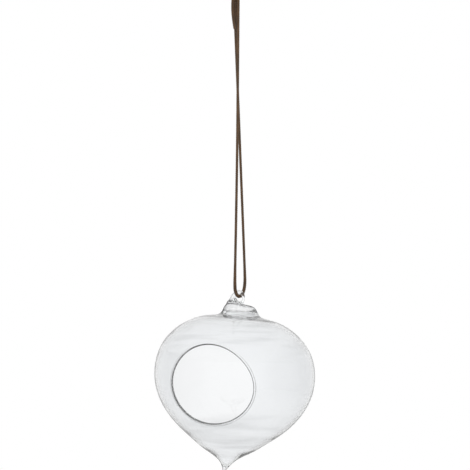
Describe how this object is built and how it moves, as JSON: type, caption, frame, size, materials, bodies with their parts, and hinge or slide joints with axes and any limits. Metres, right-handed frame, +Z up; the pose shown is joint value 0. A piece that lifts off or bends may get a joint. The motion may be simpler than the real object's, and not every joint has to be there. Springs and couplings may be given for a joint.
{
  "type": "propagation vase",
  "caption": "Hanging clear glass vase, a blown onion-shaped bulb with a drawn tip and a round mouth in its side, carried by a waxed cord tied through a glass eye.",
  "frame": {"origin": "inside the top of the hanging loop, on the point of the cord that rests on the hook", "axes": "+Z up along the hanging cord, +X to the right seen from the mouth's side, +Y away from that viewer"},
  "size_m": [0.1193, 0.1181, 0.3879],
  "materials": {
    "clear_glass": "colourless mouth-blown soda-lime glass, fire-polished, with faint cords in the wall",
    "waxed_cord": "dark brown twisted cotton cord, waxed to a low sheen"
  },
  "bodies": {
    "hook_turn": {"hook_turn": "waxed_cord"},
    "loop_legs": {"loop_legs": "waxed_cord"},
    "cord": {"cord_knot": "waxed_cord", "left_strand": "waxed_cord", "right_strand": "waxed_cord", "short_tail": "waxed_cord", "long_tail": "waxed_cord"},
    "bight": {"cord_bight": "waxed_cord"},
    "vase": {"glass_bulb": "clear_glass", "glass_eye": "clear_glass"}
  },
  "joints": [
    {"name": "front_swing", "type": "hinge", "parent": "hook_turn", "child": "loop_legs", "pos_m": [0, 0, -0.003], "axis": [1, 0, 0], "range_deg": [-40, 40]},
    {"name": "side_swing", "type": "hinge", "parent": "loop_legs", "child": "cord", "pos_m": [-0.0003, 0, -0.026], "axis": [0, 1, 0], "range_deg": [-40, 40]},
    {"name": "cord_twist", "type": "hinge", "parent": "cord", "child": "bight", "pos_m": [0.00185, -0.00112, -0.25665], "axis": [-0.0093, 0.0049, 0.9999], "range_deg": [-180, 180]},
    {"name": "eye_rock", "type": "hinge", "parent": "bight", "child": "vase", "pos_m": [0.00185, -0.00112, -0.254], "axis": [0.9025, -0.4245, -0.0726], "range_deg": [-30, 30]}
  ]
}
